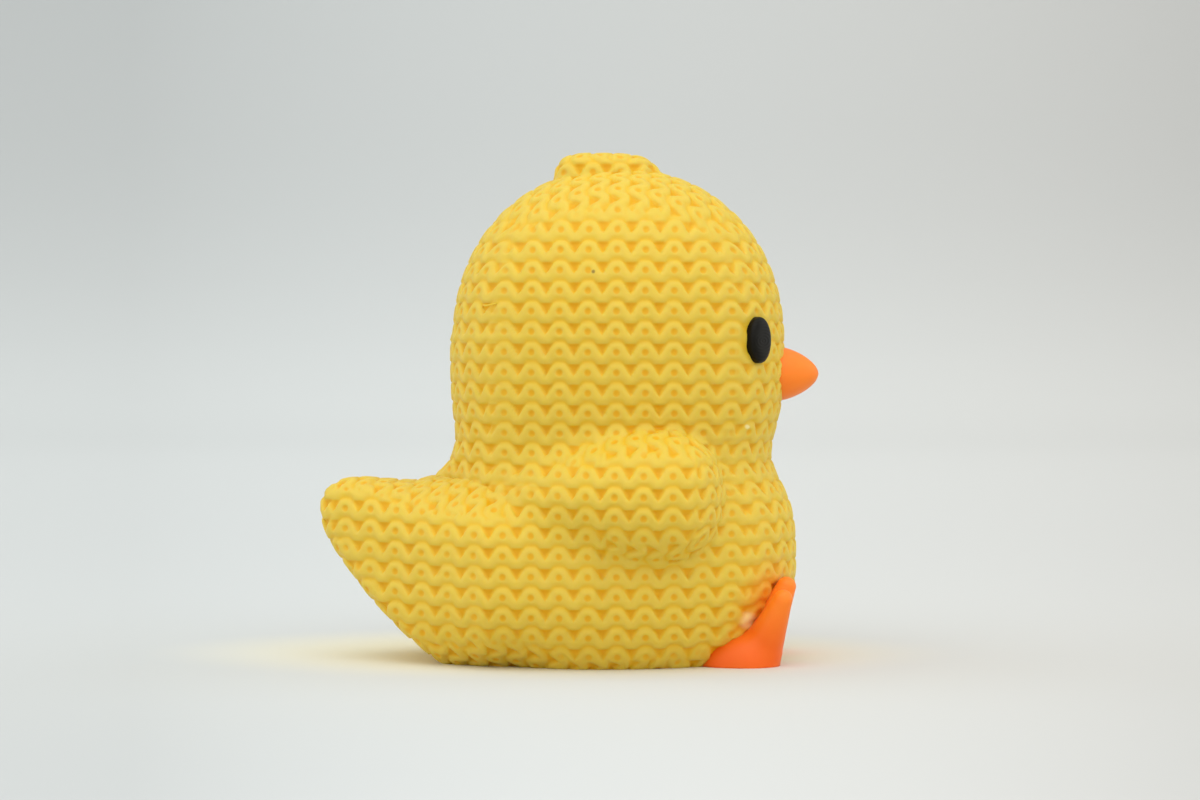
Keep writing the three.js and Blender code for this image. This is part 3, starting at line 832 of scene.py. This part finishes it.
small_cell = 1.2
small_halvings = 2
no_floor_cut = -9
beak_mesh = mesh_over(
    "beak", beak_form, *box_of("beak", 2), small_cell, small_halvings, no_floor_cut
)
beak_mesh.materials.append(orange_plastic("orange_beak"))
beak_mesh.shade_smooth()
finished("orange_beak", beak_mesh, "beak", "beak")


# Eyes: black plastic, each a shallow oval dome set in the side of the face. The printer has
# left fine rings on it, round a point towards the front.
eye_half_width = 2.5
eye_half_height = 3.4
eye_dome_rise = 1.2
eye_dome_lift = 0.1
eye_dark_colour = (0.003, 0.0025, 0.0015, 1)
eye_speck_colour = (0.009, 0.0075, 0.004, 1)
eye_ring_x = 28.7
eye_ring_z = 47.6
eye_ring_step = 0.42
eye_ring_depth = 0.02


def black_plastic():
    """Near-black satin plastic with fine rings."""
    made, tree, shader = material_of("black_plastic", Roughness=0.35, Specular_IOR_Level=0.12)
    place = tree.node("ShaderNodeTexCoord", out="Object")
    speckle = tree.node("ShaderNodeTexNoise", {}, {"Vector": place, "Scale": 900.0})
    colour = speckle.blended(eye_dark_colour, eye_speck_colour)
    made.node_tree.links.new(colour.socket, shader.inputs["Base Color"])
    x, _, z = place.parts()
    from_middle = ((x - eye_ring_x * mm) ** 2 + (z - eye_ring_z * mm) ** 2) ** 0.5
    rings = (from_middle * (2 * math.pi / (eye_ring_step * mm))).cosine()
    height = rings * (eye_ring_depth * mm)
    bump = tree.node(
        "ShaderNodeBump", {}, {"Strength": 0.4, "Distance": 1.0, "Height": height}
    )
    made.node_tree.links.new(bump.socket, shader.inputs["Normal"])
    return made


def eye_form_at(centre):
    """A steep-sided dome that stands square on the face at the place nearest to a point."""
    outward = slope_of(body_form, centre[None])[0]
    outward /= np.linalg.norm(outward)
    across = np.array([-outward[1], outward[0], 0])
    across /= np.linalg.norm(across)
    upward = np.cross(outward, across)
    root = seated(body_form, centre[None])[0]

    def form(x, y, z):
        offset = np.stack([x - root[0], y - root[1], z - root[2]], axis=-1)
        side, rise, out = offset @ across, offset @ upward, offset @ outward
        oval = (side / eye_half_width) ** 2 + (rise / eye_half_height) ** 2
        gauge = (oval**2 + ((out - eye_dome_lift) / eye_dome_rise) ** 4) ** 0.25
        return (gauge - 1) * eye_half_width

    return form


eye_black = black_plastic()
for hand in ("left", "right"):
    eye_low, eye_high = box_of("eye_" + hand, 3)
    eye_form = eye_form_at((eye_low + eye_high) / 2)
    eye_mesh = mesh_over(
        "eye", eye_form, eye_low, eye_high, small_cell, small_halvings, no_floor_cut
    )
    eye_mesh.materials.append(eye_black)
    eye_mesh.shade_smooth()
    finished("black_eye_" + hand, eye_mesh, "eye", "eye_" + hand)


# Feet: smooth orange plastic, each a heel flat on the floor and three webbed toes that turn
# up in front of the chest. Each is set in a hollow under the body. Places here are from the
# middle line of a foot, and a finger's two radii are at its root and its tip.
heel = {"at": (26, 0, 0), "front": 5.2, "back": 7, "side": 4.9, "up": 5.2, "down": 6}
heel_powers = (2.2, 2.2)
middle_toe = {"root": (28.4, 0, 3), "tip": (32.1, 0, 11.6), "radii": (3, 1.45)}
outer_toe = {"root": (28.6, 1, 3), "tip": (31.6, 4.4, 10.1), "radii": (3, 1.4)}
toe_web = {"root": (29.6, 1, 4), "tip": (31.9, 2.3, 9.4), "radii": (1.6, 0.9)}
toe_softness = 0.8
web_softness = 1
heel_softness = 1.2
foot_cell = 1.5
foot_floor_cut = -2
foot_net_low = -6


def finger(x, y, z, shape):
    """How far outside a straight rounded finger a place is, below zero inside it."""
    root = np.array(shape["root"])
    along = np.array(shape["tip"]) - root
    root_radius, tip_radius = shape["radii"]
    offset = np.stack([x - root[0], y - root[1], z - root[2]], axis=-1)
    share = np.clip(offset @ along / (along @ along), 0, 1)
    gap = np.linalg.norm(offset - share[..., None] * along, axis=-1)
    return gap - (root_radius + (tip_radius - root_radius) * share)


def feet_form(x, y, z):
    """Both feet: on each a heel, a middle toe, two outer toes and the web between them."""
    aside = np.abs(y) - foot_at
    toes = joined(
        finger(x, aside, z, middle_toe), finger(x, np.abs(aside), z, outer_toe), toe_softness
    )
    toes = joined(toes, finger(x, np.abs(aside), z, toe_web), web_softness)
    return joined(lump(x, aside, z, heel, heel_powers), toes, heel_softness)


orange_feet = orange_plastic("orange_feet")
for hand, side in (("left", 1), ("right", -1)):

    def foot_form(x, y, z, side=side):
        return np.maximum(feet_form(x, y, z), -y * side)

    foot_low, foot_high = box_of("foot_" + hand, 3)
    foot_low[2] = foot_net_low
    foot_mesh = mesh_over(
        "foot", foot_form, foot_low, foot_high, foot_cell, small_halvings, foot_floor_cut
    )
    foot_mesh.materials.append(orange_feet)
    cut_flat(foot_mesh)
    finished("webbed_foot_" + hand, foot_mesh, "foot", "foot_" + hand)
